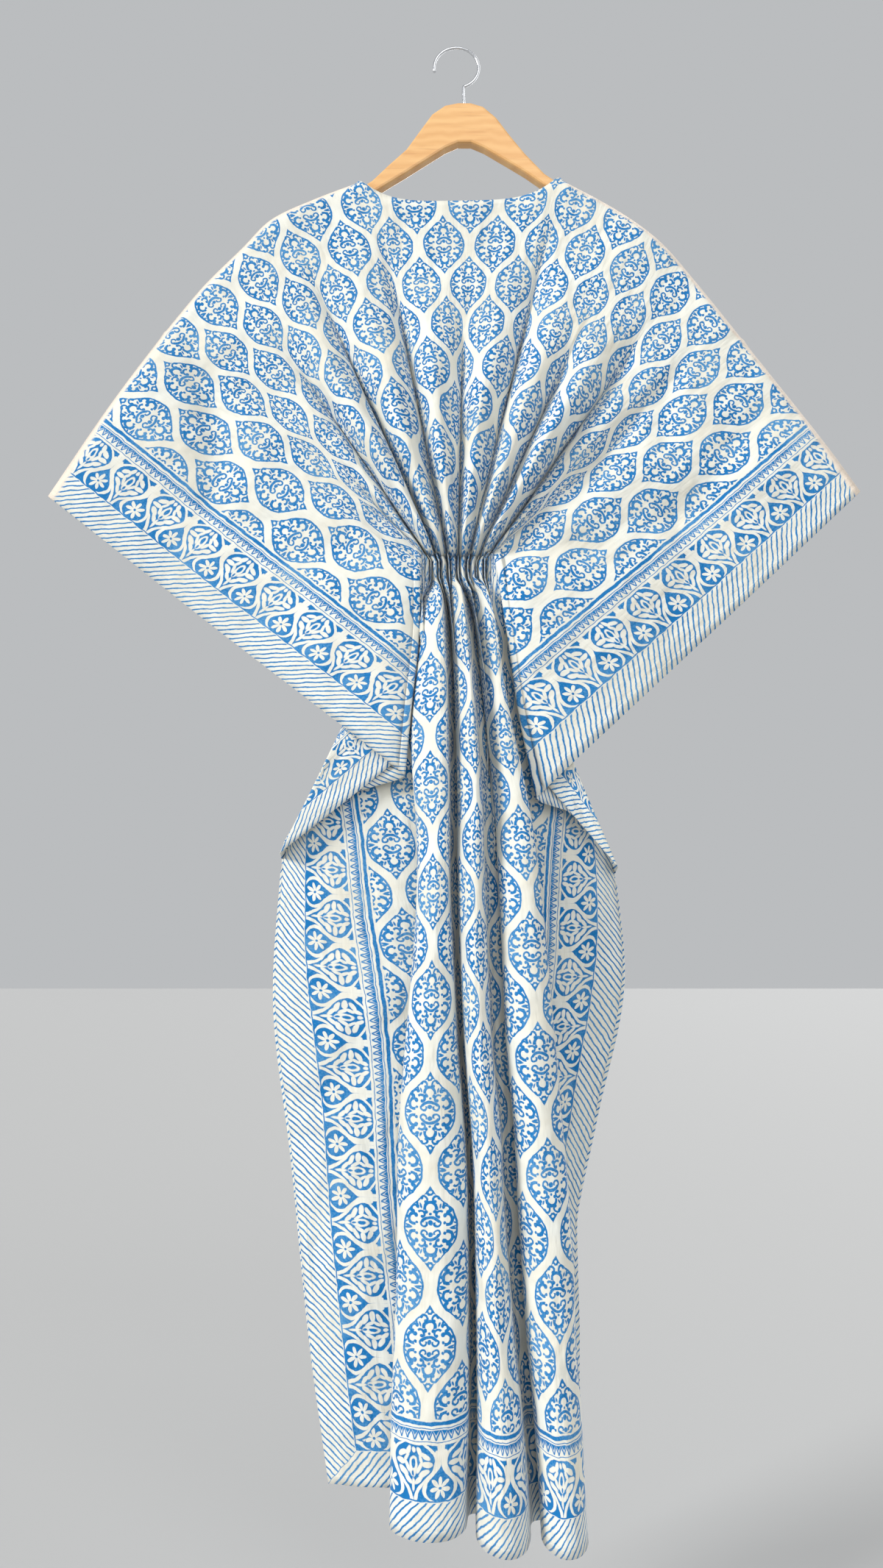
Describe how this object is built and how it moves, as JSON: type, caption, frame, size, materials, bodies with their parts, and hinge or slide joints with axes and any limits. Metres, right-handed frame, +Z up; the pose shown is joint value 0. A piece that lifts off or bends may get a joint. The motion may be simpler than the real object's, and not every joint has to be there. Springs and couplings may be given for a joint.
{
  "type": "block-printed kaftan on a wooden hanger",
  "caption": "Loose cotton kaftan with wide wing sleeves and a gathered waist, hanging from a wooden hanger with a wire hook.",
  "frame": {"origin": "inner top of the hook, where it rests on the nail or rail that holds it", "axes": "+Z up, -Y towards the viewer who sees the garment's back, +X to that viewer's right"},
  "size_m": [0.8448, 0.1101, 1.5072],
  "materials": {
    "cotton_print": "soft thin cotton with a blue block print on cream",
    "hanger_wood": "satin lacquer",
    "hook_wire": "polished"
  },
  "bodies": {
    "root": {"back_panel": "cotton_print", "front_panel": "cotton_print", "hanger_bar": "hanger_wood", "hanger_hook": "hook_wire"}
  },
  "joints": []
}
